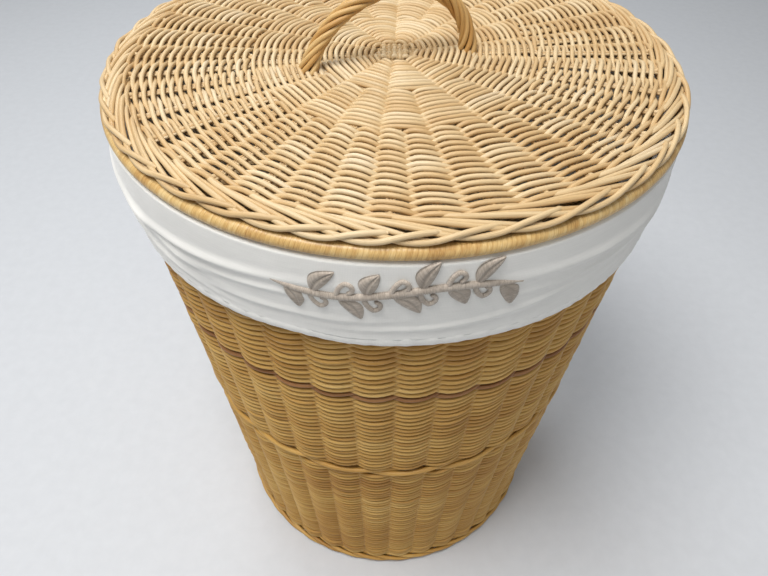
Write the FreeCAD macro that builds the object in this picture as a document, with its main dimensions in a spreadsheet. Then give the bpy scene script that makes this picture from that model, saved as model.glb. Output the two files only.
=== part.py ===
import FreeCAD, Part
import math
import os
import re
import Sketcher

# A round, lidded laundry basket of twined cane with a cloth liner.
# Millimetres, +Z up, the origin at the middle of the foot on the floor, the front towards -Y.

Vector = FreeCAD.Vector
Placement = FreeCAD.Placement
Rotation = FreeCAD.Rotation
X_AXIS = Vector(1, 0, 0)
Y_AXIS = Vector(0, 1, 0)
Z_AXIS = Vector(0, 0, 1)

# Driving dimensions: alias, value, meaning. Lengths are in millimetres and angles in degrees.
SIZES = [
    ("floor_radius", 175, "outer radius of the wall, carried down to the floor"),
    ("rim_radius", 222.9, "outer radius of the wall at the top of the rim"),
    ("rim_height", 526.4, "height of the top of the cane rim"),
    ("wall_thickness", 12.5, "twined wall, stakes included"),
    ("foot_height", 13.5, "top of the foot border"),
    ("foot_width", 18, "how far the foot border reaches in from the outer face of the wall"),
    ("foot_proud", 3, "how far the foot border stands out of the wall"),
    ("upset_height", 31, "top of the upset wale"),
    ("upset_proud", 1.2, "how far the upset wale stands out of the wall"),
    ("fitch_bottom", 233, "underside of the fitch band"),
    ("fitch_top", 243.5, "top of the fitch band"),
    ("fitch_proud", 1.5, "how far the fitch band stands out of the wall"),
    ("open_row_top", 248, "top of the open row over the fitch band"),
    ("accent_bottom", 366.5, "underside of the accent round"),
    ("accent_top", 374.5, "top of the accent round"),
    ("accent_proud", 0.8, "how far the accent round stands out of the wall"),
    ("rim_bottom", 508, "underside of the rim border"),
    ("stake_count", 40, "upright stakes"),
    ("stake_diameter", 4, "stake cane"),
    ("stake_bottom", 6, "lower ends of the stakes, in the foot border"),
    ("stake_top", 518, "upper ends of the stakes, in the rim border"),
    ("stake_turn", 5.7, "angle of the first stake from +X"),
    ("clearance", 0.05, "gap round canes that pass through a weave"),
    ("base_height", 9, "middle height of the base"),
    ("base_thickness", 9, "twined base"),
    ("base_radius", 157, "outer radius of the twined base"),
    ("slath_radius", 26, "inner radius of the twined base"),
    ("base_stick_count", 5, "base sticks each way"),
    ("base_stick_pitch", 8.5, "spacing of the base sticks at the crossing"),
    ("base_stick_reach", 152, "radius at the ends of the base sticks"),
    ("split_diameter", 8, "split base sticks"),
    ("threaded_diameter", 4.4, "threaded base sticks"),
    ("cloth", 2, "thickness that stands for the cloth"),
    ("cloth_gap", 0.5, "gap between cloth and cane"),
    ("liner_floor", 14, "underside of the liner's bottom panel"),
    ("cuff_inner_bottom", 515, "seam between bag and cuff, inside the rim"),
    ("hem_bottom", 450, "lower edge of the hem"),
    ("hem_top", 459, "top of the hem's casing"),
    ("hem_thickness", 3.4, "casing, both layers and the elastic"),
    ("elastic_bottom", 451.6, "lower edge of the elastic"),
    ("elastic_top", 457.4, "upper edge of the elastic"),
    ("elastic_thickness", 1, "elastic"),
    ("sprig_bottom", 488, "lower edge of the embroidery"),
    ("sprig_top", 520, "upper edge of the embroidery"),
    ("sprig_angle", 41.6, "angle that the embroidery spans round the cuff"),
    ("sprig_relief", 1.4, "height of the raised stitches"),
    ("lid_bottom", 540, "underside of the lid's weave"),
    ("lid_top", 549, "top of the lid's weave"),
    ("inner_zone", 61, "outer radius of the weave over the bundles"),
    ("middle_zone", 112, "outer radius of the weave over the pairs"),
    ("outer_zone", 207, "outer radius of the weave over single spokes"),
    ("spoke_height", 544.5, "middle height of the spokes"),
    ("spoke_depth", 3.6, "spoke cane, top to bottom"),
    ("bundle_count", 10, "bundles in the inner zone"),
    ("bundle_width", 8, "width of a bundle"),
    ("pair_count", 20, "pairs in the middle zone"),
    ("pair_width", 12, "width of a pair"),
    ("spoke_count", 40, "spokes in the outer zone"),
    ("spoke_width", 7.5, "width of a spoke"),
    ("slath_cane", 4, "canes at the crossing of the lid"),
    ("slath_pitch", 4.2, "spacing of those canes"),
    ("slath_size", 21, "length of those canes, and the side of the square"),
    ("border_radius", 226.5, "outer radius of the lid's border"),
    ("border_bottom", 539.02, "underside of the lid's border, on the hoop"),
    ("border_shoulder", 546, "height of the border at its outer edge"),
    ("border_top", 552, "top of the lid's border"),
    ("hoop_radius", 220, "radius of the hoop to the middle of its cane"),
    ("hoop_height", 534, "middle height of the hoop"),
    ("hoop_diameter", 10, "hoop with its wrapping"),
    ("hoop_core_diameter", 7.6, "bare hoop"),
    ("ring_radius", 200, "outer radius of the locating ring"),
    ("ring_thickness", 5, "thickness of the locating ring"),
    ("ring_bottom", 516, "lower edge of the locating ring"),
    ("handle_span", 126.7, "distance between the feet of the handle"),
    ("handle_rise", 52, "height of the handle's centre line over the lid"),
    ("handle_crown", 73, "distance of the crown from the left foot"),
    ("handle_foot_x", -64, "left foot, across"),
    ("handle_foot_y", -30, "left foot, front to back"),
    ("handle_turn", 16.5, "turn of the handle's plane from +X"),
    ("handle_diameter", 12.5, "handle over its roping"),
    ("handle_core_diameter", 5, "bent cane inside the handle"),
    ("handle_core_depth", 1.8, "how deep the core is sunk into the weave, short of the spokes"),
    ("handle_rope_depth", 10, "how far the roping is drawn down before it is trimmed"),
]

doc = FreeCAD.newDocument("laundry_basket")
sheet = doc.addObject("Spreadsheet::Sheet", "sizes")
for row, (alias, number, meaning) in enumerate(SIZES, start=1):
    sheet.set(f"A{row}", str(number))
    sheet.setAlias(f"A{row}", alias)
    sheet.set(f"B{row}", meaning)
doc.recompute()

nodes = []


def node(thing, name):
    """Name a finished sub-part, which names its file."""
    thing.Label = name
    nodes.append(thing)
    return thing


def size(expression):
    """The present value of an expression over the sheet's cells."""
    result = sheet.evalExpression(expression)
    return float(getattr(result, "Value", result))


def sizes(expression):
    """Read each bare alias in an expression as a cell of the sheet."""
    aliases = {alias for alias, _, _ in SIZES}
    return re.sub(r"[a-z_]+", lambda word: ("sizes." if word[0] in aliases else "") + word[0], expression)


def wall(height, offset="0"):
    """Radius at a height, measured from the outer face of the tapered wall."""
    return f"floor_radius + ( rim_radius - floor_radius ) * ( {height} ) / rim_height + ( {offset} )"


def origin_feature(body, role):
    return next(item for item in body.Origin.OriginFeatures if item.Role == role)


def turned(name, *outlines, angle=360):
    """A body turned about Z from closed outlines of (radius, height) corners."""
    body = doc.addObject("PartDesign::Body", name)
    sketch = body.newObject("Sketcher::SketchObject", name + "_outline")
    sketch.AttachmentSupport = [(origin_feature(body, "XZ_Plane"), "")]
    sketch.MapMode = "FlatFace"
    for corners in outlines:
        bound = [(sizes(radius), sizes(height)) for radius, height in corners]
        places = [Vector(size(radius), size(height), 0) for radius, height in bound]
        first = sketch.GeometryCount
        count = len(places)
        for index in range(count):
            edge = Part.LineSegment(places[index], places[(index + 1) % count])
            sketch.addGeometry(edge, False)
        for index in range(count):
            following = first + (index + 1) % count
            sketch.addConstraint(Sketcher.Constraint("Coincident", first + index, 2, following, 1))
        for index, (radius, height) in enumerate(bound):
            corner = first + index
            pin_coordinate(sketch, "DistanceX", corner, radius, f"across{corner}")
            pin_coordinate(sketch, "DistanceY", corner, height, f"up{corner}")
    revolution = body.newObject("PartDesign::Revolution", name + "_turned")
    revolution.Profile = sketch
    revolution.ReferenceAxis = (sketch, ["V_Axis"])
    revolution.Angle = angle
    body.Tip = revolution
    return body


def pin_coordinate(sketch, kind, corner, expression, label):
    """Bind one coordinate of a sketch corner to the sheet, or to the axis where it is zero."""
    if size(expression) == 0:
        axis = -1 if kind == "DistanceY" else -2
        sketch.addConstraint(Sketcher.Constraint("PointOnObject", corner, 1, axis))
        return
    index = sketch.addConstraint(Sketcher.Constraint(kind, -1, 1, corner, 1, size(expression)))
    sketch.renameConstraint(index, label)
    sketch.setExpression("Constraints." + label, expression)


def band(name, bottom, top, proud="0"):
    """One level band of the tapered wall."""
    return turned(name, [
        (wall(bottom, "0 - wall_thickness"), bottom),
        (wall(bottom, proud), bottom),
        (wall(top, proud), top),
        (wall(top, "0 - wall_thickness"), top),
    ])


def level_ring(name, inner, outer, bottom, top):
    """A flat ring between two radii and two heights."""
    return turned(name, [(inner, bottom), (outer, bottom), (outer, top), (inner, top)])


def patterned(body, feature, count):
    """Repeat a feature of a body all the way round Z."""
    pattern = body.newObject("PartDesign::PolarPattern", body.Name + "_round")
    pattern.Originals = [feature]
    pattern.Axis = (origin_feature(body, "Z_Axis"), [""])
    pattern.Angle = 360
    pattern.setExpression("Occurrences", sizes(count))
    body.Tip = pattern


def stake_circle(name, extra):
    """All the side stakes, leaning with the wall; extra is added to each radius."""
    body = doc.addObject("PartDesign::Body", name)
    body.AllowCompound = True
    body.Placement = Placement(Vector(), Rotation(Z_AXIS, size(sizes("stake_turn"))))
    stake = body.newObject("PartDesign::AdditiveCylinder", name + "_stake")
    stake.Placement = Placement(Vector(), Rotation(Y_AXIS, 1))
    stake.setExpression("Radius", sizes(f"stake_diameter / 2 + ( {extra} )"))
    lean = "atan( ( rim_radius - floor_radius ) / rim_height )"
    stake.setExpression("Height", sizes(f"( stake_top - stake_bottom ) / cos( {lean} )"))
    stake.setExpression("Placement.Base.x", sizes(wall("stake_bottom", "0 - wall_thickness / 2")))
    stake.setExpression("Placement.Base.z", sizes("stake_bottom"))
    stake.setExpression("Placement.Rotation.Angle", sizes(lean))
    patterned(body, stake, "stake_count")
    return body


def spoke_circle(name, start, end, width, count, turn, extra):
    """Flat spokes or bundles inside a ring of two radii; extra is added on every side but the ends."""
    body = doc.addObject("PartDesign::Body", name)
    body.AllowCompound = True
    body.Placement = Placement(Vector(), Rotation(Z_AXIS, turn))
    spoke = body.newObject("PartDesign::AdditiveBox", name + "_spoke")
    spoke.setExpression("Length", sizes(
        f"sqrt( {end} * {end} - {width} * {width} / 4 ) - clearance - ( {start} )"
    ))
    spoke.setExpression("Width", sizes(f"{width} + 2 * ( {extra} )"))
    spoke.setExpression("Height", sizes(f"spoke_depth + 2 * ( {extra} )"))
    spoke.setExpression("Placement.Base.x", sizes(start))
    spoke.setExpression("Placement.Base.y", sizes(f"0 - {width} / 2 - ( {extra} )"))
    spoke.setExpression("Placement.Base.z", sizes(f"spoke_height - spoke_depth / 2 - ( {extra} )"))
    patterned(body, spoke, count)
    return body


def cut(name, base, *tools):
    """A base with one or more tools cut out of it, one after the other."""
    for tool in tools:
        result = doc.addObject("Part::Cut", f"{name}_without_{tool.Name}")
        result.Base = base
        result.Tool = tool
        base = result
    return node(base, name)


def base_stick(direction, offset, spread, radius):
    """One base stick: straight over the crossing, then fanned outwards at both ends."""
    reach = size(sizes("base_stick_reach"))
    height = size(sizes("base_height"))
    half = size(sizes("base_stick_pitch * ( base_stick_count - 1 ) / 2"))
    bends = [Vector(-half, offset, height), Vector(half, offset, height)]
    angle = math.radians(spread)
    end = Vector(reach * math.cos(angle), reach * math.sin(angle), height)
    route = [Vector(-end.x, end.y, height), bends[0], bends[1], end]
    pieces = []
    for start, finish in zip(route, route[1:]):
        along = finish - start
        pieces.append(Part.makeCylinder(radius, along.Length, start, along))
    pieces += [Part.makeSphere(radius, bend) for bend in bends]
    stick = pieces[0].fuse(pieces[1:]).removeSplitter()
    stick.rotate(Vector(), Z_AXIS, direction)
    return stick


def base_sticks(name, diameter, direction, extra):
    """A set of parallel base sticks whose ends are spread evenly round the base."""
    count = round(size(sizes("base_stick_count")))
    pitch = size(sizes("base_stick_pitch"))
    radius = size(sizes(f"{diameter} / 2 + ( {extra} )"))
    fan = 90 / count
    steps = [index - (count - 1) / 2 for index in range(count)]
    sticks = [base_stick(direction, step * pitch, step * fan, radius) for step in steps]
    feature = doc.addObject("Part::Feature", name)
    feature.Shape = Part.makeCompound(sticks)
    return feature


def slath(name, height, turn):
    """Parallel short canes of the crossing in the middle of the lid."""
    body = doc.addObject("PartDesign::Body", name)
    body.AllowCompound = True
    body.Placement = Placement(Vector(), Rotation(Z_AXIS, turn))
    cane = body.newObject("PartDesign::AdditiveCylinder", name + "_cane")
    cane.Placement = Placement(Vector(), Rotation(Y_AXIS, 90))
    cane.setExpression("Radius", sizes("slath_cane / 2"))
    cane.setExpression("Height", sizes("slath_size"))
    cane.setExpression("Placement.Base.x", sizes("0 - slath_size / 2"))
    cane.setExpression("Placement.Base.y", sizes("0 - 2 * slath_pitch"))
    cane.setExpression("Placement.Base.z", sizes(height))
    pattern = body.newObject("PartDesign::LinearPattern", name + "_row")
    pattern.Originals = [cane]
    pattern.Direction = (origin_feature(body, "Y_Axis"), [""])
    pattern.setExpression("Length", sizes("4 * slath_pitch"))
    pattern.Occurrences = 5
    body.Tip = pattern
    return node(body, name)


def hoop(name, diameter):
    """A hoop of round cane under the lid's edge."""
    ring = doc.addObject("Part::Torus", name)
    ring.setExpression("Radius1", sizes("hoop_radius"))
    ring.setExpression("Radius2", sizes(f"{diameter} / 2"))
    ring.setExpression("Placement.Base.z", sizes("hoop_height"))
    return ring


# The handle's centre line is two arcs that meet level at the crown, in an upright plane.
HANDLE_PLANE = Placement(
    Vector(size(sizes("handle_foot_x")), size(sizes("handle_foot_y")), size(sizes("lid_top"))),
    Rotation(Z_AXIS, size(sizes("handle_turn"))),
)
LEFT_REACH = "handle_crown"
RIGHT_REACH = "( handle_span - handle_crown )"


def arc_radius(reach):
    """Radius of the arc that is level at the crown and comes down over a foot at this reach."""
    return f"( {reach} * {reach} + handle_rise * handle_rise ) / ( 2 * handle_rise )"


def arc_drop(reach, height):
    """Angle in degrees from the crown down to a height over the lid."""
    return f"acos( 1 - ( handle_rise - ( {height} ) ) / ( {arc_radius(reach)} ) )"


def arc_seat(reach, start):
    """Placement of an arc's torus, which begins at start degrees round from +X."""
    centre = Vector(size(sizes("handle_crown")), 0, size(sizes(f"handle_rise - {arc_radius(reach)}")))
    upright = Placement(centre, Rotation(X_AXIS, 90))
    return HANDLE_PLANE * upright * Placement(Vector(), Rotation(Z_AXIS, start))


def arch(name, radius, depth):
    """The whole arch as a round bar of this radius, ending this deep under the lid's top."""
    halves = []
    for side, reach in (("left", LEFT_REACH), ("right", RIGHT_REACH)):
        drop = arc_drop(reach, f"0 - {depth}")
        half = doc.addObject("Part::Torus", f"{name}_{side}")
        half.setExpression("Radius1", sizes(arc_radius(reach)))
        half.setExpression("Radius2", sizes(radius))
        half.setExpression("Angle3", sizes(drop))
        half.Placement = arc_seat(reach, 90 if side == "left" else 90 - size(sizes(drop)))
        halves.append(half)
    joined = doc.addObject("Part::Fuse", name)
    joined.Base, joined.Tool = halves
    joined.Refine = True
    return joined


# Canes, and the same canes a clearance larger, which open their holes in the weaves.
side_stakes = node(stake_circle("side_stakes", "0"), "side_stakes")
stake_holes = stake_circle("stake_holes", "clearance")
split_sticks = base_sticks("split_sticks", "split_diameter", 0, "0")
threaded_sticks = node(
    base_sticks("base_threaded_sticks", "threaded_diameter", 90, "0"), "base_threaded_sticks"
)
split_holes = base_sticks("split_holes", "split_diameter", 0, "clearance")
threaded_holes = base_sticks("threaded_holes", "threaded_diameter", 90, "clearance")
cut("base_split_sticks", split_sticks, threaded_holes)

# The foot and the base.
foot = turned("foot", [
    (wall("0", "0 - foot_width"), "0"),
    (wall("0", "foot_proud"), "0"),
    (wall("foot_height", "foot_proud"), "foot_height"),
    (wall("foot_height", "0 - foot_width"), "foot_height"),
])
cut("foot_border", foot, stake_holes)
base_disc = level_ring(
    "base_disc", "slath_radius", "base_radius - clearance",
    "base_height - base_thickness / 2", "base_height + base_thickness / 2"
)
cut("base_weave", base_disc, split_holes, threaded_holes)

# The wall, from the foot to the rim: name, bottom, top and how far each band stands out.
BANDS = [
    ("upset_wale", "foot_height", "upset_height", "upset_proud"),
    ("lower_weave", "upset_height", "fitch_bottom", "0"),
    ("fitch_band", "fitch_bottom", "fitch_top", "fitch_proud"),
    ("middle_weave", "open_row_top", "accent_bottom", "0"),
    ("accent_round", "accent_bottom", "accent_top", "accent_proud"),
    ("upper_weave", "accent_top", "rim_bottom", "0"),
    ("rim_border", "rim_bottom", "rim_height", "0"),
]
for band_name, band_bottom, band_top, band_proud in BANDS:
    cut(band_name, band(band_name + "_solid", band_bottom, band_top, band_proud), stake_holes)

# The cloth liner: bag, bottom panel, turned-down cuff, hem and elastic.
INSIDE = "0 - wall_thickness - cloth_gap"
liner_top = "liner_floor + cloth"
node(turned("liner_bag", [
    (wall(liner_top, INSIDE + " - cloth"), liner_top),
    (wall(liner_top, INSIDE), liner_top),
    (wall("cuff_inner_bottom", INSIDE), "cuff_inner_bottom"),
    (wall("cuff_inner_bottom", INSIDE + " - cloth"), "cuff_inner_bottom"),
]), "liner_bag")
liner_base = doc.addObject("Part::Cylinder", "liner_base")
liner_base.setExpression("Radius", sizes(wall("liner_floor", INSIDE)))
liner_base.setExpression("Height", sizes("cloth"))
liner_base.setExpression("Placement.Base.z", sizes("liner_floor"))
node(liner_base, "liner_base")
node(turned("liner_cuff", [
    (wall("hem_top", "cloth_gap"), "hem_top"),
    (wall("rim_height", "cloth_gap"), "rim_height + cloth_gap"),
    (wall("rim_height", INSIDE), "rim_height + cloth_gap"),
    (wall("cuff_inner_bottom", INSIDE), "cuff_inner_bottom"),
    (wall("cuff_inner_bottom", INSIDE + " - cloth"), "cuff_inner_bottom"),
    (wall("rim_height", INSIDE + " - cloth"), "rim_height + cloth_gap + cloth"),
    (wall("rim_height", "cloth_gap + cloth"), "rim_height + cloth_gap + cloth"),
    (wall("hem_top", "cloth_gap + cloth"), "hem_top"),
]), "liner_cuff")


def upright_outline(bottom, top, inner, outer):
    """Four corners between two heights and two offsets from the wall."""
    return [(wall(bottom, inner), bottom), (wall(bottom, outer), bottom),
            (wall(top, outer), top), (wall(top, inner), top)]


elastic_inner = "cloth_gap + ( hem_thickness - elastic_thickness ) / 2"
elastic_outer = "cloth_gap + ( hem_thickness + elastic_thickness ) / 2"
node(turned(
    "cuff_hem",
    upright_outline("hem_bottom", "hem_top", "cloth_gap", "cloth_gap + hem_thickness"),
    upright_outline("elastic_bottom - clearance", "elastic_top + clearance",
                    elastic_inner + " - clearance", elastic_outer + " + clearance"),
), "cuff_hem")
node(turned(
    "hem_elastic", upright_outline("elastic_bottom", "elastic_top", elastic_inner, elastic_outer)
), "hem_elastic")

sprig_inner = "cloth_gap + cloth + clearance"
sprig = turned(
    "embroidered_sprig",
    upright_outline("sprig_bottom", "sprig_top", sprig_inner, sprig_inner + " + sprig_relief"),
    angle=size(sizes("sprig_angle")),
)
sprig.Placement = Placement(Vector(), Rotation(Z_AXIS, -90 - size(sizes("sprig_angle")) / 2))
node(sprig, "embroidered_sprig")

# The handle of the lid, drawn past the lid's top and trimmed there.
handle_core = node(
    arch("handle_core", "handle_core_diameter / 2", "handle_core_depth"), "handle_core"
)
core_hole = arch("core_hole", "handle_core_diameter / 2 + clearance", "( handle_core_depth + clearance )")
rope_bore = arch("rope_bore", "handle_core_diameter / 2 + clearance", "handle_rope_depth")
rope_bar = arch("rope_bar", "handle_diameter / 2", "handle_rope_depth")
under_lid = doc.addObject("Part::Cylinder", "under_lid")
under_lid.setExpression("Radius", sizes("inner_zone + middle_zone"))
under_lid.setExpression("Height", sizes("4 * handle_rope_depth"))
under_lid.setExpression("Placement.Base.z", sizes("lid_top - 4 * handle_rope_depth"))
cut("handle_roping", rope_bar, rope_bore, under_lid)

# The lid: crossing, spokes and the three weaves round it.
slath("lid_slath_under", "spoke_height - slath_pitch / 2", 0)
slath("lid_slath_over", "spoke_height + slath_pitch / 2", 90)
slath_square = doc.addObject("Part::Box", "slath_square")
for side in ("Length", "Width"):
    slath_square.setExpression(side, sizes("slath_size + 2 * clearance"))
slath_square.setExpression("Height", sizes("lid_top - lid_bottom"))
for side in ("x", "y"):
    slath_square.setExpression("Placement.Base." + side, sizes("0 - slath_size / 2 - clearance"))
slath_square.setExpression("Placement.Base.z", sizes("lid_bottom"))

# Zone, where its spokes and its weave start and end, the spokes' width and count, their turn, and
# what else is cut out of its weave.
ZONES = [
    ("inner", "0.75 * slath_size", "0.4 * slath_size", "inner_zone", "bundle_width", "bundle_count", 0,
     [slath_square, core_hole]),
    ("middle", "inner_zone", "inner_zone", "middle_zone", "pair_width", "pair_count", 9, [core_hole]),
    ("outer", "middle_zone", "middle_zone", "outer_zone", "spoke_width", "spoke_count", 4.5, []),
]
for zone, start, weave_start, end, width, count, turn, others in ZONES:
    spokes = spoke_circle(f"{zone}_spokes", start, end, width, count, turn, "0")
    holes = spoke_circle(f"{zone}_holes", start, end, width, count, turn, "clearance")
    disc = level_ring(f"{zone}_disc", weave_start, end, "lid_bottom", "lid_top")
    cut("lid_weave_" + zone, disc, holes, *others)
    node(spokes, "lid_spokes_" + zone)

# The lid's edge: border, wrapped hoop and the ring that drops inside the rim.
node(turned("lid_border", [
    ("outer_zone + clearance", "border_bottom"),
    ("border_radius", "border_bottom"),
    ("border_radius", "border_shoulder"),
    ("hoop_radius", "border_top"),
    ("outer_zone + clearance", "lid_top"),
]), "lid_border")
node(hoop("lid_hoop_core", "hoop_core_diameter"), "lid_hoop_core")
cut("lid_hoop_wrap", hoop("hoop_outside", "hoop_diameter"), hoop("hoop_bore", "hoop_core_diameter"))
node(level_ring(
    "lid_locating_ring", "ring_radius - ring_thickness", "ring_radius", "ring_bottom", "lid_bottom"
), "lid_locating_ring")

doc.recompute()

broken = [item.Label for item in doc.Objects if {"Invalid", "Error"} & set(item.State)]
broken += [item.Label for item in nodes if item.Shape.isNull() or not item.Shape.isValid()]
if broken:
    raise SystemExit("these objects failed: " + ", ".join(broken))

os.makedirs("parts", exist_ok=True)
for item in nodes:
    item.Shape.exportStep(os.path.join("parts", item.Label + ".step"))
    box = item.Shape.BoundBox
    print(f"{item.Label:24s} {len(item.Shape.Solids):3d} solids {item.Shape.Volume / 1000:9.2f} cm3"
          f"  z {box.ZMin:7.2f} to {box.ZMax:7.2f}  across {box.XLength:6.1f} by {box.YLength:6.1f}")
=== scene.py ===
import math

import bpy
import numpy as np
from mathutils import Matrix, Vector


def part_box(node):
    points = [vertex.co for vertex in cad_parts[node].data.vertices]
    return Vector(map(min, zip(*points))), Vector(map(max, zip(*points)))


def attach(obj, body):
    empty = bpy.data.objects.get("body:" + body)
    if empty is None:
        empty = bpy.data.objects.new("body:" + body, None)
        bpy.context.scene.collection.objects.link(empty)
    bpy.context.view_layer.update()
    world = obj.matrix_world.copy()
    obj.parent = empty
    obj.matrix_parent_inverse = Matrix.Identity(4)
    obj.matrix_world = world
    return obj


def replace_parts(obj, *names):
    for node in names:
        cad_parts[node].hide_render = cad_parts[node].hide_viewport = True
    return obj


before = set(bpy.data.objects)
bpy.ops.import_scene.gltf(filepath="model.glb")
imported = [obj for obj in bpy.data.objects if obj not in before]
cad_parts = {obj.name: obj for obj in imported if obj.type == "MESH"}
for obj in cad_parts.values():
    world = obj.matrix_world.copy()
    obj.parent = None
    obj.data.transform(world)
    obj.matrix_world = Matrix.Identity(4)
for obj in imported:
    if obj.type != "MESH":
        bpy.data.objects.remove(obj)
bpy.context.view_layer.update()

# A round, lidded laundry basket of twined cane with a cloth liner, in metres, +Z up, front towards -Y.
# Every woven band of the frame is replaced by the canes that it is made of, row by row.

MM = 0.001
TURN = 2 * math.pi
UP = np.array([0, 0, 1.0])
RNG = np.random.default_rng(440)


# ---- sizes read from the frame

def low(node):
    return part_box(node)[0].z


def high(node):
    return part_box(node)[1].z


def reach(node):
    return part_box(node)[1].x


WALL_HEIGHT = high("upper_weave") - high("lower_weave")
WALL_SLOPE = (reach("upper_weave") - reach("lower_weave")) / WALL_HEIGHT


def wall_radius(height):
    """Outer radius of the tapered wall."""
    return reach("lower_weave") + WALL_SLOPE * (height - high("lower_weave"))


WALL_CANE = 3.95 * MM           # diameter of the weaving cane of the wall
WALL_SWING = 3.7 * MM           # how far a weaver swings out of the middle of the wall
WALL_DEPTH = WALL_SWING + WALL_CANE / 2
FITCH_STAND = 1.6 * MM          # how far the rope of the fitch lies outside the other weavers
CANE_SIDES = 8
CANE_END = 0.55                 # share of its radius that a cane keeps at a cut end
STAKES = 40
STAKE_TURN = math.radians(5.7)  # direction of the first stake

LID_CANE = 3.55 * MM
LID_SWING = 2.8 * MM
LID_MIDDLE = (low("lid_spokes_outer") + high("lid_spokes_outer")) / 2
SPOKES = 40
LID_TURN = math.radians(-2.0)
SPOKE_TURN = math.radians(4.5) + LID_TURN
ZONE_BLEND = 4 * MM             # half the length over which a spoke crosses from zone to zone
INNER_ZONE = reach("lid_weave_inner")
MIDDLE_ZONE = reach("lid_weave_middle")
OUTER_ZONE = reach("lid_weave_outer")
HOOP_HALF = 4.4 * MM            # from the hoop's outer face in to its centre line
HOOP_RADIUS = (reach("lid_hoop_wrap") + reach("lid_hoop_core")) / 2 - HOOP_HALF
HOOP_HEIGHT = (low("lid_hoop_wrap") + high("lid_hoop_wrap")) / 2
HOOP_THICK = (high("lid_hoop_wrap") - low("lid_hoop_wrap")) / 2


# ---- meshes

VECTORS = ("grain", "cloth")    # attributes of three numbers for each point; the others hold one


def placed(name, data):
    made = bpy.data.objects.new(name, data)
    bpy.context.scene.collection.objects.link(made)
    return made


def mesh_piece(name, points, faces, body, material, attributes):
    """A mesh piece that rides on a body. faces is a list of arrays of equal-sided polygons."""
    mesh = bpy.data.meshes.new(name)
    points = np.asarray(points, np.float32).reshape(-1, 3)
    mesh.vertices.add(len(points))
    mesh.vertices.foreach_set("co", points.ravel())
    corners = np.concatenate([group.ravel() for group in faces])
    counts = np.concatenate([np.full(len(group), group.shape[1]) for group in faces])
    starts = np.concatenate([[0], np.cumsum(counts)[:-1]])
    mesh.loops.add(len(corners))
    mesh.loops.foreach_set("vertex_index", corners.astype(np.int32))
    mesh.polygons.add(len(counts))
    mesh.polygons.foreach_set("loop_start", starts.astype(np.int32))
    mesh.polygons.foreach_set("use_smooth", np.full(len(counts), True))
    mesh.update(calc_edges=True)
    for label, values in attributes.items():
        kind, field = ("FLOAT_VECTOR", "vector") if label in VECTORS else ("FLOAT", "value")
        attribute = mesh.attributes.new(label, kind, "POINT")
        attribute.data.foreach_set(field, np.asarray(values, np.float32).ravel())
    mesh.materials.append(material)
    piece = placed(name, mesh)
    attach(piece, body)
    return piece


def unit(vectors):
    return vectors / np.linalg.norm(vectors, axis=-1, keepdims=True)


def polar(radius, angle, height):
    """Points at a radius, a direction and a height; with a radius of 1, directions."""
    return np.stack(np.broadcast_arrays(radius * np.cos(angle), radius * np.sin(angle), height), axis=-1)


def smooth_step(value):
    value = np.clip(value, 0, 1)
    return value * value * (3 - 2 * value)


def degrees_past(centre, angle):
    """Degrees from a direction to an angle, from -180 to 180."""
    return (np.degrees(angle) - centre + 180) % 360 - 180


def cane_mesh(lines, facing, radius, sides, closed, flat=1.0):
    """Round canes along lines of points (canes, points, 3); facing is the side that looks outwards.

    Returns points, faces and the attributes that the cane materials read."""
    lines = np.asarray(lines, float)
    canes, count, _ = lines.shape
    if closed:
        ahead = np.roll(lines, -1, axis=1) - np.roll(lines, 1, axis=1)
        step = np.linalg.norm(np.roll(lines, -1, axis=1) - lines, axis=2)
    else:
        ahead = np.gradient(lines, axis=1)
        step = np.linalg.norm(np.diff(lines, axis=1, append=lines[:, -1:]), axis=2)
    ahead = unit(ahead)
    facing = np.broadcast_to(facing, lines.shape)
    out = unit(facing - (facing * ahead).sum(-1, keepdims=True) * ahead)
    side = np.cross(ahead, out)
    radius = np.array(np.broadcast_to(radius, (canes, count)), float)
    if not closed:
        radius[:, [0, -1]] *= CANE_END
    turn = np.arange(sides) / sides * TURN
    cosine, sine = np.cos(turn), np.sin(turn)
    rings = (lines[:, :, None] + radius[:, :, None, None] * (
        cosine[:, None] * flat * out[:, :, None] + sine[:, None] * side[:, :, None]))
    index = np.arange(canes * count * sides).reshape(canes, count, sides)
    following = np.roll(index, -1, axis=1) if closed else index[:, 1:]
    present = index if closed else index[:, :-1]
    quads = np.stack([
        present, following, np.roll(following, -1, axis=2), np.roll(present, -1, axis=2)
    ], axis=-1).reshape(-1, 4)[:, ::-1]
    faces = [quads]
    if not closed:
        faces += [index[:, 0], index[:, -1][:, ::-1]]
    along = np.concatenate([np.zeros((canes, 1)), np.cumsum(step, axis=1)[:, :-1]], axis=1)
    grain = np.stack(np.broadcast_arrays(along[:, :, None], cosine, sine), axis=-1)
    tone = np.broadcast_to(RNG.random(canes)[:, None, None], grain.shape[:3])
    return rings.reshape(-1, 3), faces, {"grain": grain, "tone": tone}


def joined(parts):
    """Several (points, faces, attributes) as one."""
    shift, faces = 0, []
    for points, part_faces, _ in parts:
        faces += [group + shift for group in part_faces]
        shift += len(points)
    merged = {label: np.concatenate([part[2][label].ravel() for part in parts]) for label in parts[0][2]}
    return np.concatenate([part[0] for part in parts]), faces, merged


def cane_piece(name, parts, body, slot, material, *nodes):
    """A piece of one or more lots of canes, in place of nodes of the frame."""
    points, faces, attributes = joined(parts)
    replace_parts(mesh_piece(name, points, faces, body, material, attributes), *nodes)


def wander(rows, angle, knots, size):
    """Smooth random unevenness round a ring, one track for each row."""
    values = RNG.normal(0, size, (rows, knots))
    place = angle / TURN * knots
    first = np.floor(place).astype(int)
    share = place - first
    share = share * share * (3 - 2 * share)
    return values[:, first % knots] * (1 - share) + values[:, (first + 1) % knots] * share


# ---- twining

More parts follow.
